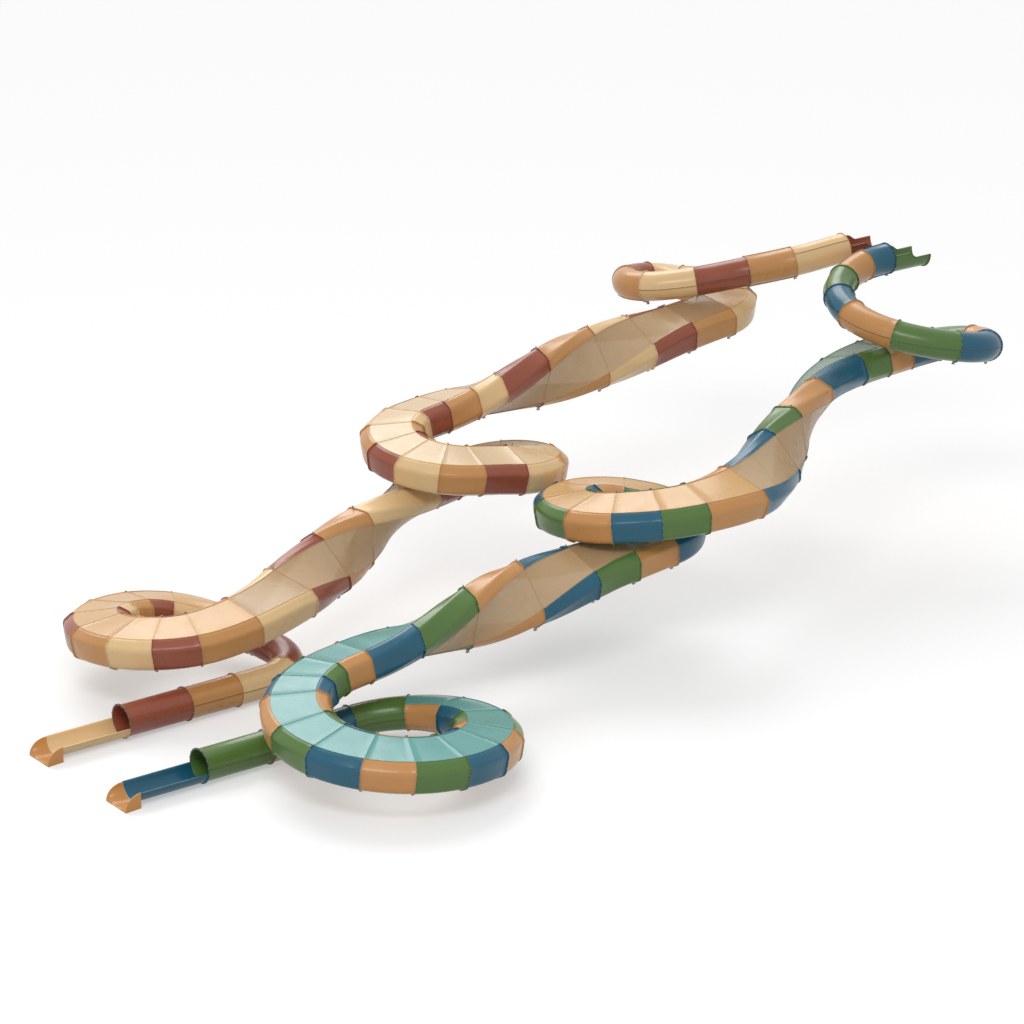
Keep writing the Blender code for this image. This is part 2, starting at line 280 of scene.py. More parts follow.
def gelcoat(name, opacity=1.0):
    color = [linear(value) for value in finishes[name]]
    material, nodes, links, shader = startMaterial(name + "Gelcoat")
    place = nodes.new("ShaderNodeTexCoord")
    toneNoise = addNoise(nodes, links, place, *finishes["toneNoise"])
    tones = addTones(nodes, links, toneNoise, color, finishes["mottling"])
    links.new(tones.outputs["Color"], shader.inputs["Base Color"])
    glossNoise = addNoise(nodes, links, place, *finishes["glossNoise"])
    gloss = addRange(nodes, links, glossNoise, *finishes["gloss"])
    links.new(gloss.outputs["Result"], shader.inputs["Roughness"])
    rippleNoise = addNoise(nodes, links, place, *finishes["rippleNoise"])
    addBump(nodes, links, rippleNoise, shader, finishes["ripple"], finishes["rippleDepth"])
    shader.inputs["Specular IOR Level"].default_value = finishes["specular"]
    shader.inputs["Coat Weight"].default_value = finishes["coat"]
    shader.inputs["Coat Roughness"].default_value = finishes["coatRoughness"]
    shader.inputs["Alpha"].default_value = opacity
    return material


def sealant():
    material, nodes, links, shader = startMaterial("greySealant")
    place = nodes.new("ShaderNodeTexCoord")
    noise = addNoise(nodes, links, place, *sealantLook["noise"])
    tones = addTones(nodes, links, noise, sealantLook["tone"], sealantLook["spread"])
    links.new(tones.outputs["Color"], shader.inputs["Base Color"])
    shader.inputs["Roughness"].default_value = sealantLook["roughness"]
    return material


def zincSteel():
    material, nodes, links, shader = startMaterial("zincSteel")
    place = nodes.new("ShaderNodeTexCoord")
    spangle = nodes.new("ShaderNodeTexVoronoi")
    spangle.inputs["Scale"].default_value = steelLook["spangle"]
    links.new(place.outputs["Object"], spangle.inputs["Vector"])
    tones = nodes.new("ShaderNodeValToRGB")
    tones.color_ramp.elements[0].color = steelLook["dark"]
    tones.color_ramp.elements[1].color = steelLook["light"]
    links.new(spangle.outputs["Distance"], tones.inputs["Fac"])
    links.new(tones.outputs["Color"], shader.inputs["Base Color"])
    noise = addNoise(nodes, links, place, *steelLook["noise"])
    gloss = addRange(nodes, links, noise, *steelLook["gloss"])
    links.new(gloss.outputs["Result"], shader.inputs["Roughness"])
    shader.inputs["Metallic"].default_value = steelLook["metallic"]
    return material


solidNames = ("blue", "orange", "green", "red", "cream", "stop", "teal", "tan", "pale")
materials = {name: gelcoat(name) for name in solidNames}
for clearName in ("clearTeal", "clearTan", "clearPale"):
    materials[clearName] = gelcoat(clearName, finishes["clearOpacity"])
materials["sealant"] = sealant()
materials["steel"] = zincSteel()
print("materials made:", len(materials))


# Where a point of the moulded section lies
def flatSpot(angle):
    across, half = section["rideWidth"] / 2, section["rideHeight"] / 2
    panel, facet = section["panelWidth"] / 2, section["edgeFacet"] / 2
    stops = (
        (0, across, 0, 1, 0),
        (15, across, facet, 1, 0.4),
        (45, panel, half, 0.4, 1),
        (90, 0, half, 0, 1),
    )
    turn = angle % 360
    folded = turn % 180
    folded = 180 - folded if folded > 90 else folded
    side = -1 if 90 < turn < 270 else 1
    rise = 1 if turn <= 180 else -1
    for first, second in zip(stops, stops[1:]):
        if folded <= second[0]:
            share = (folded - first[0]) / (second[0] - first[0])
            x, y, outX, outY = (a + (b - a) * share for a, b in zip(first[1:], second[1:]))
            return side * x, rise * y, side * outX, rise * outY


@functools.lru_cache(maxsize=None)
def softSpot(angle):
    shares = [k / 3 for k in range(-3, 4)]
    spots = [flatSpot(angle + share * section["cornerSoftness"]) for share in shares]
    return [sum(values) / len(spots) for values in zip(*spots)]


def sectionSpot(widening, angle, grow):
    radius = section["tubeRadius"] + grow
    x, y, outX, outY = softSpot(angle)
    turn = math.radians(angle)
    return (
        (1 - widening) * radius * math.cos(turn) + widening * (x + grow * outX),
        (1 - widening) * radius * math.sin(turn) + widening * (y + grow * outY),
    )


def eased(keys, along):
    if along <= keys[0][0]:
        return keys[0][1]
    for (start, first), (end, last) in zip(keys, keys[1:]):
        if along <= end:
            share = (along - start) / (end - start)
            return first + (last - first) * share * share * (3 - 2 * share)
    return keys[-1][1]


# Walks a flume's route once, so that any place on it can be looked up
tracing = {
    "step": 0.02,
    "gradeBlend": 0.50,
    "probes": 10,
    "turnStep": 4.5,
    "rollStep": 4.0,
    "widthStep": 0.12,
}


class Path:
    def __init__(self, flume):
        self.parts = flume["route"]
        self.length = sum(part[1] for part in self.parts)
        self.widthKeys = self.placed(flume["widths"])
        self.rollKeys = self.placed(flume["rolls"])
        self.trace(Vector(flume["exit"]))
        self.known = {}

    def placed(self, keys):
        starts, total = {}, 0.0
        for name, length, turn, grade in self.parts:
            starts[name] = (total, length)
            total += length
        return [(starts[name][0] + share * starts[name][1], value) for name, share, value in keys]

    def partAt(self, along):
        for part in self.parts:
            if along < part[1] or part is self.parts[-1]:
                return part
            along -= part[1]

    def gradeAt(self, along):
        shares = (-1.0, -0.5, 0.0, 0.5, 1.0)
        return sum(self.partAt(along + share * tracing["gradeBlend"])[3] for share in shares) / len(shares)

    def trace(self, exitPoint):
        along = 0.0
        heading = math.pi - math.radians(sum(part[2] for part in self.parts))
        point = Vector((0.0, 0.0, 0.0))
        self.places, self.points = [along], [point.copy()]
        self.headings, self.grades = [heading], [self.gradeAt(0.0)]
        for name, length, turn, grade in self.parts:
            count = math.ceil(length / tracing["step"])
            step = length / count
            change = math.radians(turn) / count
            for _ in range(count):
                middle = heading + change / 2
                fall = self.gradeAt(along + step / 2)
                point += step * Vector((math.cos(middle), math.sin(middle), -fall))
                along += step
                heading += change
                self.places.append(along)
                self.points.append(point.copy())
                self.headings.append(heading)
                self.grades.append(fall)
        shift = exitPoint - self.points[-1]
        self.points = [point + shift for point in self.points]

    def frame(self, along):
        low = min(max(bisect.bisect_right(self.places, along) - 1, 0), len(self.places) - 2)
        share = (along - self.places[low]) / (self.places[low + 1] - self.places[low])
        center = self.points[low].lerp(self.points[low + 1], share)
        heading = self.headings[low] * (1 - share) + self.headings[low + 1] * share
        grade = self.grades[low] * (1 - share) + self.grades[low + 1] * share
        ahead = Vector((math.cos(heading), math.sin(heading), -grade)).normalized()
        left = Vector((-math.sin(heading), math.cos(heading), 0.0))
        return center, ahead, left, ahead.cross(left)

    def roll(self, along):
        return eased(self.rollKeys, along)

    def width(self, along):
        return eased(self.widthKeys, along)

    def place(self, along):
        if along not in self.known:
            center, ahead, left, up = self.frame(along)
            roll = math.radians(self.roll(along))
            sideways = left * math.cos(roll) + up * math.sin(roll)
            over = up * math.cos(roll) - left * math.sin(roll)
            self.known[along] = (center, ahead, sideways, over, self.width(along))
        return self.known[along]

    def ring(self, along, shift, spots):
        center, ahead, sideways, over, widening = self.place(along)
        flat = [sectionSpot(widening, angle, grow) for angle, grow in spots]
        return [center + ahead * shift + sideways * x + over * y for x, y in flat]

    def stations(self, start, end):
        probes = tracing["probes"]
        parts = [self.partAt(start + (end - start) * (i + 0.5) / probes) for i in range(probes)]
        turned = sum(abs(part[2]) / part[1] for part in parts) / probes * (end - start)
        rolled = abs(self.roll(end) - self.roll(start))
        widened = abs(self.width(end) - self.width(start))
        counts = turned / tracing["turnStep"], rolled / tracing["rollStep"], widened / tracing["widthStep"]
        steps = max(2, *(math.ceil(count) for count in counts))
        return [start + (end - start) * i / steps for i in range(1, steps)]


# How near two points are before they are joined, in metres
welding = {"sheet": 1e-4, "closed": 1e-5}


# Draws an outline through rings of points by extruding its edges from each ring to the next
def sweep(rings, closed=False):
    bm = bmesh.new()
    order = bm.verts.layers.int.new("order")
    verts = [bm.verts.new(point) for point in rings[0]]
    for i, vert in enumerate(verts):
        vert[order] = i
    edges = [bm.edges.new(pair) for pair in zip(verts, verts[1:])]
    if closed:
        edges.append(bm.edges.new((verts[-1], verts[0])))
    for points in rings[1:]:
        made = bmesh.ops.extrude_edge_only(bm, edges=edges)["geom"]
        edges = [item for item in made if isinstance(item, bmesh.types.BMEdge)]
        for item in made:
            if isinstance(item, bmesh.types.BMVert):
                item.co = points[item[order]]
    return bm


def thicken(bm, wall):
    bmesh.ops.remove_doubles(bm, verts=bm.verts, dist=welding["sheet"])
    bmesh.ops.reverse_faces(bm, faces=bm.faces)
    bm.normal_update()
    outward = bm.verts.layers.float_vector.new("outward")
    for vert in bm.verts:
        vert[outward] = vert.normal
    made = bmesh.ops.extrude_face_region(bm, geom=bm.faces[:])["geom"]
    for item in made:
        if isinstance(item, bmesh.types.BMVert):
            item.co -= item[outward] * wall
    bmesh.ops.recalc_face_normals(bm, faces=bm.faces)


def closeEnds(bm):
    bmesh.ops.remove_doubles(bm, verts=bm.verts, dist=welding["closed"])
    bmesh.ops.holes_fill(bm, edges=[edge for edge in bm.edges if edge.is_boundary], sides=0)
    bmesh.ops.recalc_face_normals(bm, faces=bm.faces)


def finishPiece(bm, name, material, node, sharpAngle=32):
    mesh = bpy.data.meshes.new(name)
    bm.to_mesh(mesh)
    bm.free()
    mesh.materials.append(material)
    mesh.shade_smooth()
    mesh.set_sharp_from_angle(angle=math.radians(sharpAngle))
    piece = bpy.data.objects.new(name, mesh)
    bpy.context.scene.collection.objects.link(piece)
    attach(piece, "root")
    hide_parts(node)
    return piece


# Shells: each has a lip along both seams and a turned-out flange at both ends
shells = {
    "seamLip": 0.022,
    "panelLip": 0.012,
    "tubeSeamGap": 0.9,
    "panelSeamGap": 0.12,
    "tubeStep": 7.5,
    "edgeTurns": (5, 9, 11.5, 13.5, 15, 16.5, 18.5, 21, 27, 33, 38, 40.5, 42.5, 44.5, 46.5),
    "panelTurns": (52, 56, 61, 68, 75, 82),
    "sheetTurns": (8, 15, 22, 30, 36, 40),
    "lipFoot": 0.004,
    "lipTurn": 0.8,
    "filletFoot": 0.3,
    "beadShare": 0.96,
    "beadRise": 0.002,
}


def lippedSpots(first, last, between, lip):
    foot = shells["lipFoot"]
    return [(first, lip), (first, foot)] + [(angle, 0.0) for angle in between] + [(last, foot), (last, lip)]


def tubeHalf(start, gap):
    count = round(180 / shells["tubeStep"])
    first, last = start + gap, start + 180 - gap
    between = [start + 180 * i / count for i in range(1, count)]
    between = [first + shells["lipTurn"]] + between + [last - shells["lipTurn"]]
    return lippedSpots(first, last, between, shells["seamLip"])


def adapterHalf(start, gap):
    quarter = list(shells["edgeTurns"]) + list(shells["panelTurns"]) + [90]
    between = [start + angle for angle in quarter] + [start + 180 - angle for angle in reversed(quarter[:-1])]
    return lippedSpots(start + gap, start + 180 - gap, between, shells["seamLip"])


def edgeShell(middle):
    reach = section["panelSeam"] - shells["panelSeamGap"]
    turns = shells["edgeTurns"]
    between = [middle - angle for angle in reversed(turns)] + [middle] + [middle + angle for angle in turns]
    return lippedSpots(middle - reach, middle + reach, between, shells["panelLip"])


def panelSheet(middle):
    reach = 90 - section["panelSeam"] - shells["panelSeamGap"]
    turns = shells["sheetTurns"]
    between = [middle - angle for angle in reversed(turns)] + [middle] + [middle + angle for angle in turns]
    return lippedSpots(middle - reach, middle + reach, between, shells["panelLip"])


def onPanel(widening, angle):
    folded = angle % 180
    return widening >= section["panelStart"] and section["panelSeam"] < folded < 180 - section["panelSeam"]


def flangeAt(widening, angle):
    return section["panelFlange"] if onPanel(widening, angle) else section["flangeHeight"]


def shellPiece(path, start, end, spots):
    wall, gap, fillet = section["wall"], section["jointGap"] / 2, section["flangeFillet"]
    foot = fillet * shells["filletFoot"]
    widening = path.width(start)
    flange = [(angle, flangeAt(widening, angle)) for angle, grow in spots]
    bent = [(angle, max(grow, foot)) for angle, grow in spots]
    raised = [(angle, max(grow, fillet)) for angle, grow in spots]
    rings = [path.ring(start, wall + gap, flange), path.ring(start, wall + gap, raised)]
    rings.append(path.ring(start, wall + gap + foot, bent))
    rings.append(path.ring(start, wall + gap + fillet, spots))
    rings += [path.ring(along, 0.0, spots) for along in path.stations(start, end)]
    rings.append(path.ring(end, -wall - gap - fillet, spots))
    rings.append(path.ring(end, -wall - gap - foot, bent))
    rings += [path.ring(end, -wall - gap, raised), path.ring(end, -wall - gap, flange)]
    bm = sweep(rings)
    thicken(bm, wall)
    return bm


def seamBead(path, start, end, angle, gap, lip):
    wall, margin = section["wall"], section["wall"] + section["jointGap"]
    spots = [(angle - gap, -wall), (angle + gap, -wall), (angle + gap, lip), (angle - gap, lip)]
    rings = [path.ring(start, margin, spots)]
    rings += [path.ring(along, 0.0, spots) for along in path.stations(start, end)]
    rings.append(path.ring(end, -margin, spots))
    bm = sweep(rings, closed=True)
    closeEnds(bm)
    return bm


def addBmesh(target, source):
    mesh = bpy.data.meshes.new("shared")
    source.to_mesh(mesh)
    source.free()
    target.from_mesh(mesh)
    bpy.data.meshes.remove(mesh)


# Seal between two flanges
seals = {"thickness": 0.0018, "recess": 0.004, "angleStep": 7.5}


def jointSeal(path, joint):
    count = round(360 / seals["angleStep"])
    inner = [(360 * i / count, -section["wall"]) for i in range(count)]
    widening = path.width(joint)
    outer = [(angle, flangeAt(widening, angle) - seals["recess"]) for angle, grow in inner]
    half = seals["thickness"] / 2
    rings = [path.ring(joint, -half, inner), path.ring(joint, -half, outer)]
    rings += [path.ring(joint, half, outer), path.ring(joint, half, inner), path.ring(joint, -half, inner)]
    bm = sweep(rings, closed=True)
    bmesh.ops.remove_doubles(bm, verts=bm.verts, dist=welding["closed"])
    bmesh.ops.recalc_face_normals(bm, faces=bm.faces)
    return bm


# Bolts through the flanges
bolts = {
    "margin": 2.0,
    "spacing": 0.17,
    "fewest": 8,
    "angleStep": 3.0,
    "rise": 0.020,
    "headRadius": 0.0105,
    "headDepth": 0.008,
    "headSides": 6,
    "headTaper": 0.9,
    "headBite": 0.0004,
    "washerRadius": 0.014,
    "washerDepth": 0.003,
    "washerSides": 10,
}


def outlineLength(points):
    return sum((b - a).length for a, b in zip(points, points[1:] + points[:1]))


def spacedAngles(path, joint, spacing):
    step = bolts["angleStep"]
    places = round(360 / step)
    angles = [step * i for i in range(places)]
    points = path.ring(joint, 0.0, [(angle, 0.0) for angle in angles])
    total = outlineLength(points)
    count = max(bolts["fewest"], 2 * round(total / spacing / 2))
    chosen, walked, target = [], 0.0, total / count / 2
    for i, angle in enumerate(angles):
        side = (points[(i + 1) % places] - points[i]).length
        while walked + side > target and len(chosen) < count:
            chosen.append(angle + step * (target - walked) / side)
            target += total / count
        walked += side
    return chosen


def addBolt(bm, middle, axes, offset):
    for direction in (1, -1):
        depth, radius = bolts["washerDepth"], bolts["washerRadius"]
        spin = Matrix(axes).transposed().to_4x4()
        at = middle + axes[2] * direction * (offset + depth / 2)
        bmesh.ops.create_cone(
            bm, cap_ends=True, segments=bolts["washerSides"], radius1=radius, radius2=radius,
            depth=depth, matrix=Matrix.Translation(at) @ spin,
        )
        at = middle + axes[2] * direction * (offset + depth + bolts["headDepth"] / 2 - bolts["headBite"])
        wide, narrow = bolts["headRadius"], bolts["headRadius"] * bolts["headTaper"]
        near, far = (wide, narrow) if direction > 0 else (narrow, wide)
        bmesh.ops.create_cone(
            bm, cap_ends=True, segments=bolts["headSides"], radius1=near, radius2=far,
            depth=bolts["headDepth"], matrix=Matrix.Translation(at) @ spin,
        )


def jointBolts(bm, path, joint):
    center, ahead, sideways, over, widening = path.place(joint)
    offset = section["jointGap"] / 2 + section["wall"]
    for angle in spacedAngles(path, joint, bolts["spacing"]):
        if onPanel(widening, angle + bolts["margin"]) or onPanel(widening, angle - bolts["margin"]):
            continue
        point = path.ring(joint, 0.0, [(angle, bolts["rise"])])[0]
        addBolt(bm, point, (sideways, over, ahead), offset)


# Hanging foot under a joint, and a lifting lug on top of it
brackets = {
    "footLength": 0.030,
    "footWidth": 0.080,
    "drop": 0.060,
    "plate": 0.008,
    "start": 0.006,
    "clearance": 0.20,
    "lugWidth": 0.060,
    "lugHeight": 0.050,
    "lugOutline": (
        (1, 1.0, 0.7),
        (1, 0.8, 0.9),
        (1, 0.4, 1.0),
        (-1, 0.4, 1.0),
        (-1, 0.8, 0.9),
        (-1, 1.0, 0.7),
    ),
    "standOff": 0.0005,
    "webPlace": 0.4,
    "webShare": 0.8,
    "angleStep": 2.0,
}


def extremeSpot(path, joint, sign):
    step = brackets["angleStep"]
    angles = [step * i for i in range(round(360 / step))]
    points = path.ring(joint, 0.0, [(angle, 0.0) for angle in angles])
    return max(points, key=lambda point: sign * point.z)


def plateBetween(bm, corners, thickness):
    face = bm.faces.new([bm.verts.new(corner) for corner in corners])
    made = bmesh.ops.extrude_face_region(bm, geom=[face])["geom"]
    moved = [item for item in made if isinstance(item, bmesh.types.BMVert)]
    bmesh.ops.translate(bm, verts=moved, vec=thickness)


def hangingFoot(bm, path, joint):
    point = extremeSpot(path, joint, -1)
    if point.z < brackets["clearance"]:
        return
    center, ahead = path.place(joint)[:2]
    across = Vector((0, 0, 1)).cross(ahead).normalized()
    down = across.cross(ahead).normalized()
    down = down if down.z < 0 else -down
    plate, width = brackets["plate"], brackets["footWidth"]
    offset = section["jointGap"] / 2 + section["wall"] + brackets["standOff"]
    bottom = section["flangeHeight"] + brackets["drop"]
    for direction in (1, -1):
        out = ahead * direction
        top = point + out * offset - across * width / 2 + down * brackets["start"]
        foot = point + out * offset - across * width / 2 + down * bottom
        corners = (
            top,
            top + out * plate,
            foot + out * plate - down * plate,
            foot + out * brackets["footLength"] - down * plate,
            foot + out * brackets["footLength"],
            foot,
        )
        plateBetween(bm, corners, across * width)
        for side in (-brackets["webPlace"], brackets["webPlace"]):
            aside = across * (side * width - plate / 2)
            corner = point + out * (offset + plate) + aside + down * (bottom - plate)
            reach = brackets["footLength"] - plate - offset
            web = (corner, corner + out * reach, corner - down * brackets["drop"] * brackets["webShare"])
            plateBetween(bm, web, across * plate)


def liftingLug(bm, path, joint):
    point = extremeSpot(path, joint, 1)
    ahead = path.place(joint)[1]
    across = Vector((0, 0, 1)).cross(ahead).normalized()
    up = ahead.cross(across).normalized()
    up = up if up.z > 0 else -up
    half, high = brackets["lugWidth"] / 2, section["flangeHeight"] + brackets["lugHeight"]
    offset = section["jointGap"] / 2 + section["wall"] + brackets["standOff"]
    base = point + ahead * offset
    corners = [base + across * side * half + up * brackets["start"] for side in (-1, 1)]
    for side, share, level in brackets["lugOutline"]:
        corners.append(base + across * side * half * share + up * high * level)
    plateBetween(bm, corners, ahead * brackets["plate"])


# Builds the bolted segments of one flume, two to a node
def buildSegments(flume, path):
    prefix, colors = flume["prefix"], flume["colors"]
    known = sum(length for zone, lengths in flume["zones"] for length in lengths if length)
    last = sum(len(lengths) for zone, lengths in flume["zones"]) - 1
    along, count = 0.0, 0
    for zone, lengths in flume["zones"]:
        seams = flume["tubeSeams"].get(zone, ())
        panels = flume["clearPanels"] if zone.endswith("drop") else flume["panels"]
        for i, length in enumerate(lengths):
            start = along
            along += path.length - known if length is None else length
            node = f"{prefix}_{zone}_{i // 2 + 1}"
            name = f"{prefix}_{zone}_segment_{i + 1:02d}"
            color = colors[count % 3]
            widths = path.width(start), path.width(along)
            beads = bmesh.new()
            if widths[0] < section["panelStart"]:
                gap = shells["tubeSeamGap"]
                if max(widths) < section["roundBelow"]:
                    clock = seams[min(i, len(seams) - 1)] - path.roll((start + along) / 2)
                    halves = tubeHalf(clock, gap), tubeHalf(clock + 180, gap)
                else:
                    clock = 0
                    halves = adapterHalf(0, gap), adapterHalf(180, gap)
                for label, spots in zip(("first_half", "second_half"), halves):
                    bm = shellPiece(path, start, along, spots)
                    finishPiece(bm, f"{name}_{label}", materials[color], node)
                reach, rise = gap * shells["beadShare"], shells["seamLip"] + shells["beadRise"]
                for angle in (clock, clock + 180):
                    addBmesh(beads, seamBead(path, start, along, angle, reach, rise))
            else:
                for label, middle in (("hanging_edge", 0), ("ride_edge", 180)):
                    bm = shellPiece(path, start, along, edgeShell(middle))
                    finishPiece(bm, f"{name}_{label}", materials[color], node)
                for label, middle, (tone, slot) in zip(("first_panel", "second_panel"), (90, 270), panels):
                    bm = shellPiece(path, start, along, panelSheet(middle))
                    finishPiece(bm, f"{name}_{label}", materials[tone], node)
            joints = (start, path.length) if count == last else (start,)
            for joint in joints:
                addBmesh(beads, jointSeal(path, joint))
            finishPiece(beads, f"{name}_seals", materials["sealant"], node)
            hardware = bmesh.new()
            for joint in joints:
                jointBolts(hardware, path, joint)
                if not zone.endswith("loop"):
                    hangingFoot(hardware, path, joint)
                if zone.endswith("drop"):
                    liftingLug(hardware, path, joint)
            bmesh.ops.recalc_face_normals(hardware, faces=hardware.faces)
            finishPiece(hardware, f"{name}_bolts", materials["steel"], node)
            count += 1
    return count


# Open troughs. A place along one is (distance from the joint, wall top, how far the flange stands out)
troughs = {
    "rim": 0.034,
    "rimFillet": 0.008,
    "steps": 24,
    "wallSteps": 3,
    "entryLength": 1.20,
    "entryShoulder": 0.44,
    "entrySettled": 0.72,
    "entryShoulderTop": 0.18,
    "entryWallTop": 0.02,
    "runoutLength": 1.90,
    "runoutWallTop": -0.05,
    "flangeFoot": 0.010,
    "levelRun": 0.25,
    "easingSteps": 10,
    "stopGap": 0.001,
}


def troughSpots(top, grow, rim):
    radius = section["tubeRadius"] + grow
    lip = top - section["wall"]
    if lip > 0:
        turns = [180 + 180 * i / troughs["steps"] for i in range(troughs["steps"] + 1)]
        walls = [lip * (1 - i / troughs["wallSteps"]) for i in range(troughs["wallSteps"])]
    else:
        lowest = math.degrees(math.asin(-lip / radius))
        span, steps = 180 - 2 * lowest, troughs["steps"]
        turns = [180 + lowest + span * i / steps for i in range(steps + 1)]
        walls = []
    arc = [(radius * math.cos(math.radians(turn)), radius * math.sin(math.radians(turn))) for turn in turns]
    right = [(-radius, height) for height in walls]
    left = [(radius, height) for height in reversed(walls)]
    spots = right + arc + left
    edge = abs(spots[0][0])
    fillet = troughs["rimFillet"]
    drop = min(fillet, lip / troughs["wallSteps"] / 2) if lip > 0 else fillet
    first = [(-edge - rim, lip), (-edge - fillet, lip)]
    last = [(edge + fillet, lip), (edge + rim, lip)]
    spots[0] = (spots[0][0], lip - drop)
    spots[-1] = (spots[-1][0], lip - drop)
    return first + spots + last


def troughPiece(path, joint, places):
    center, ahead, left, up = path.frame(joint)
    rings = []
    for distance, top, grow in places:
        flat = troughSpots(top, grow, max(troughs["rim"] - grow, 0.0))
        rings.append([center + ahead * distance + left * x + up * y for x, y in flat])
    bm = sweep(rings)
    thicken(bm, section["wall"])
    return bm


def easedTop(share):
    high, low = troughs["entryShoulderTop"], troughs["entryWallTop"]
    return low + (high - low) * (1 - share * share * (3 - 2 * share))


def buildEntry(flume, path, color):
    wall, height, gap = section["wall"], section["flangeHeight"], section["jointGap"] / 2
    settled, shoulder, low = troughs["entrySettled"], troughs["entryShoulder"], troughs["entryWallTop"]
    length, high = troughs["entryLength"], troughs["entryShoulderTop"]
    fillet, foot, steps = section["flangeFillet"], troughs["flangeFoot"], troughs["easingSteps"]
    places = [(-length + wall, low, height), (-length + wall, low, foot), (-length + wall + fillet, low, 0.0)]
    places.append((-length + troughs["levelRun"], low, 0.0))
    for i in range(steps + 1):
        places.append((-settled + (settled - shoulder) * i / steps, easedTop(1 - i / steps), 0.0))
    places += [(-wall - gap - fillet, high, 0.0), (-wall - gap, high, foot), (-wall - gap, high, height)]
    node = flume["prefix"] + "_entry_trough"
    bm = troughPiece(path, 0.0, places)
    finishPiece(bm, node + "_shell", materials[color], node)


def buildRunout(flume, path, color):
    wall, height, gap = section["wall"], section["flangeHeight"], section["jointGap"] / 2
    top, length = troughs["runoutWallTop"], troughs["runoutLength"]
    fillet, foot = section["flangeFillet"], troughs["flangeFoot"]
    places = [(wall + gap, top, height), (wall + gap, top, foot), (wall + gap + fillet, top, 0.0)]
    places += [(length * i / 4, top, 0.0) for i in (1, 2, 3)] + [(length - troughs["stopGap"], top, 0.0)]
    node = flume["prefix"] + "_runout_trough"
    bm = troughPiece(path, path.length, places)
    finishPiece(bm, node + "_shell", materials[color], node)


# End stop: a channel between two cheeks that curve down to a lip
endStop = {
    "length": 0.45,
    "width": 0.90,
    "floor": 0.030,
    "lip": 0.020,
    "lipDrop": 0.002,
    "cheek": 0.020,
    "edge": 0.006,
    "rings": 14,
    "round": 14,
    "sharpAngle": 40,
}


def buildStop(flume, path):
    center, ahead, left, up = path.frame(path.length)
    backTop = exitHeight + troughs["runoutWallTop"]
    radius, edge = section["tubeRadius"], endStop["edge"]
    rings = []
    for i in range(endStop["rings"] + 1):
        share = math.sin(math.pi / 2 * i / endStop["rings"])
        fall = 1 - math.sqrt(max(0.0, 1 - share * share))
        top = backTop + (endStop["lip"] - backTop) * fall
        floor = endStop["floor"] + (endStop["lip"] - endStop["lipDrop"] - endStop["floor"]) * share
        half = radius + (endStop["width"] / 2 - radius) * share
        groove = half - endStop["cheek"]
        flat = [(-half, 0.0), (-half, top - edge), (-half + edge, top)]
        for k in range(endStop["round"] + 1):
            turn = math.pi + math.pi * k / endStop["round"]
            flat.append((groove * math.cos(turn), top + (top - floor) * math.sin(turn)))
        flat += [(half - edge, top), (half, top - edge), (half, 0.0)]
        middle = center + ahead * (troughs["runoutLength"] + troughs["stopGap"] + endStop["length"] * share)
        rings.append([Vector((middle.x, middle.y, z)) + left * x for x, z in flat])
    bm = sweep(rings, closed=True)
    closeEnds(bm)
    node = flume["prefix"] + "_end_stop"
    finishPiece(bm, node + "_block", materials["stop"], node, endStop["sharpAngle"])


for flume in (coolFlume, warmFlume):
    path = Path(flume)
    buildEntry(flume, path, flume["colors"][2])
    made = buildSegments(flume, path)
    buildRunout(flume, path, flume["colors"][made % 3])
    buildStop(flume, path)
    print(flume["prefix"], "flume built:", made, "segments,", round(path.length, 2), "m long in plan")


# Floor, light and camera
studio = {
    "middle": (14.6, 2.8, 3.0),
    "cameraAt": (-46.87, -79.07, 41.91),
    "looking": (0.5553, 0.7531, -0.3528),
    "lens": 148.7,
    "sunFrom": (0.25, 0.70, 0.72),
    "sunStrength": 1.40,
    "sunAngle": 38,
    "boxFrom": (-0.62, -0.55, 0.85),
    "boxDistance": 70.0,
    "boxSize": (34.0, 16.0),
    "boxPower": 14000.0,
    "skyStrength": 0.56,
    "floorTone": 0.62,
    "floorGlow": 0.40,
    "floorReach": 400,
    "floorDrop": 0.002,
    "sensorWidth": 36.0,
    "clipEnd": 2000.0,
}


# 1 on the rays that show the background itself, and 0 on those that only light the flumes
def seenRays(nodes, links):
    sight = nodes.new("ShaderNodeLightPath")
    found = sight.outputs["Is Camera Ray"]
    for ray in ("Is Glossy Ray", "Is Transmission Ray"):
        larger = nodes.new("ShaderNodeMath")
        larger.operation = "MAXIMUM"
        links.new(found, larger.inputs[0])
        links.new(sight.outputs[ray], larger.inputs[1])
        found = larger.outputs[0]
    return found


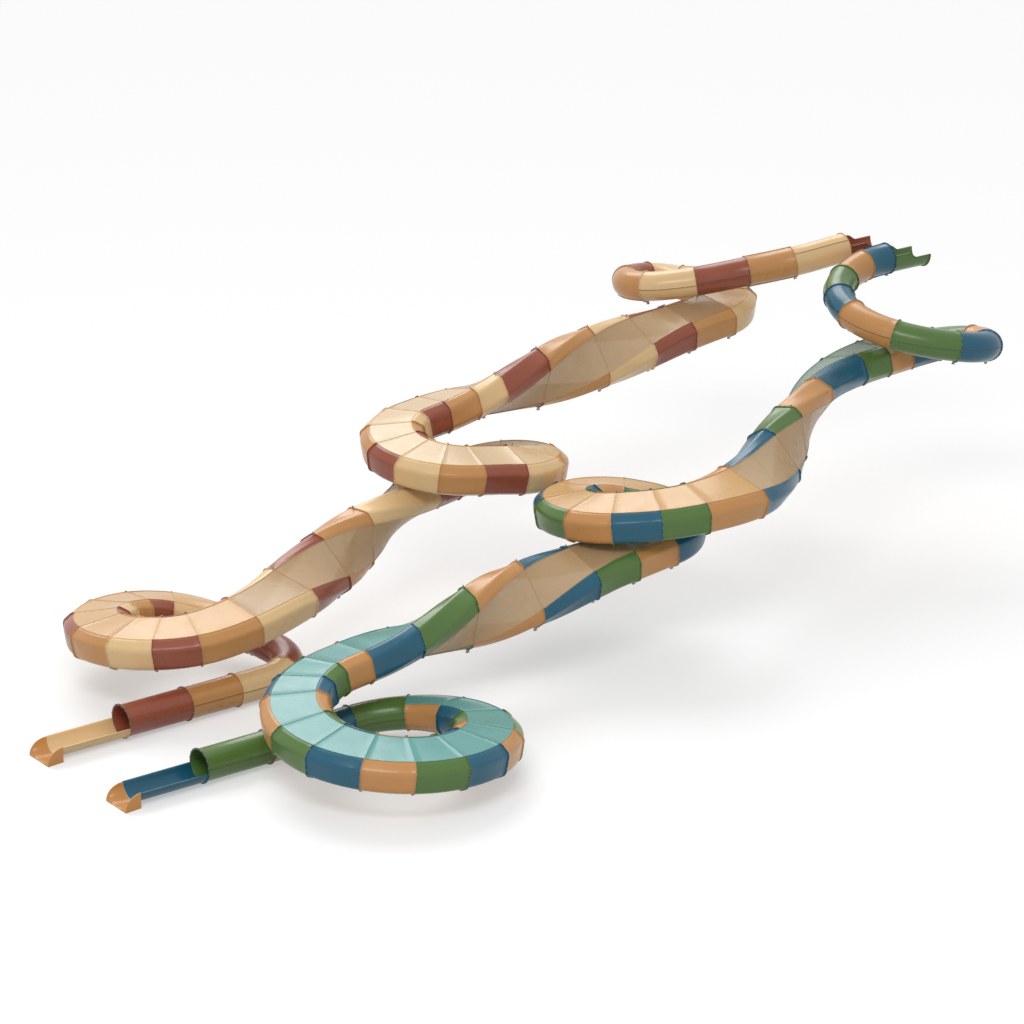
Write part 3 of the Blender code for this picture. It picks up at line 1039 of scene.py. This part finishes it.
def buildFloor():
    bm = bmesh.new()
    bmesh.ops.create_grid(bm, x_segments=4, y_segments=4, size=studio["floorReach"])
    mesh = bpy.data.meshes.new("floor")
    bm.to_mesh(mesh)
    bm.free()
    floor = bpy.data.objects.new("floor", mesh)
    bpy.context.scene.collection.objects.link(floor)
    floor.location.z = -studio["floorDrop"]
    material = bpy.data.materials.new("paleFloor")
    material.use_nodes = True
    nodes, links = material.node_tree.nodes, material.node_tree.links
    nodes.clear()
    output = nodes.new("ShaderNodeOutputMaterial")
    matt = nodes.new("ShaderNodeBsdfDiffuse")
    matt.inputs["Color"].default_value = [studio["floorTone"]] * 3 + [1.0]
    glow = nodes.new("ShaderNodeEmission")
    strength = nodes.new("ShaderNodeMath")
    strength.operation = "MULTIPLY"
    strength.inputs[1].default_value = studio["floorGlow"]
    both = nodes.new("ShaderNodeAddShader")
    links.new(seenRays(nodes, links), strength.inputs[0])
    links.new(strength.outputs[0], glow.inputs["Strength"])
    links.new(matt.outputs[0], both.inputs[0])
    links.new(glow.outputs[0], both.inputs[1])
    links.new(both.outputs[0], output.inputs["Surface"])
    mesh.materials.append(material)


def buildWorld():
    world = bpy.data.worlds.new("studioSky")
    bpy.context.scene.world = world
    world.use_nodes = True
    nodes, links = world.node_tree.nodes, world.node_tree.links
    nodes.clear()
    output = nodes.new("ShaderNodeOutputWorld")
    soft = nodes.new("ShaderNodeBackground")
    soft.inputs["Color"].default_value = (1.0, 1.0, 1.0, 1.0)
    soft.inputs["Strength"].default_value = studio["skyStrength"]
    white = nodes.new("ShaderNodeBackground")
    white.inputs["Color"].default_value = (1.0, 1.0, 1.0, 1.0)
    white.inputs["Strength"].default_value = 1.0
    mix = nodes.new("ShaderNodeMixShader")
    links.new(seenRays(nodes, links), mix.inputs["Fac"])
    links.new(soft.outputs[0], mix.inputs[1])
    links.new(white.outputs[0], mix.inputs[2])
    links.new(mix.outputs[0], output.inputs["Surface"])


def buildLightAndCamera():
    scene = bpy.context.scene
    sun = bpy.data.lights.new("softSun", "SUN")
    sun.energy = studio["sunStrength"]
    sun.angle = math.radians(studio["sunAngle"])
    sunObject = bpy.data.objects.new("softSun", sun)
    sunObject.rotation_euler = (-Vector(studio["sunFrom"])).to_track_quat("-Z", "Y").to_euler()
    scene.collection.objects.link(sunObject)
    window = bpy.data.lights.new("softBox", "AREA")
    window.shape = "RECTANGLE"
    window.size, window.size_y = studio["boxSize"]
    window.energy = studio["boxPower"]
    windowObject = bpy.data.objects.new("softBox", window)
    away = Vector(studio["boxFrom"]).normalized()
    windowObject.location = Vector(studio["middle"]) + away * studio["boxDistance"]
    windowObject.rotation_euler = (-away).to_track_quat("-Z", "Y").to_euler()
    scene.collection.objects.link(windowObject)
    camera = bpy.data.cameras.new("camera")
    camera.lens = studio["lens"]
    camera.sensor_width = studio["sensorWidth"]
    camera.clip_end = studio["clipEnd"]
    cameraObject = bpy.data.objects.new("camera", camera)
    cameraObject.location = studio["cameraAt"]
    cameraObject.rotation_euler = Vector(studio["looking"]).to_track_quat("-Z", "Y").to_euler()
    scene.collection.objects.link(cameraObject)
    scene.camera = cameraObject
    scene.view_settings.view_transform = "Standard"


buildFloor()
buildWorld()
buildLightAndCamera()
print("studio ready")
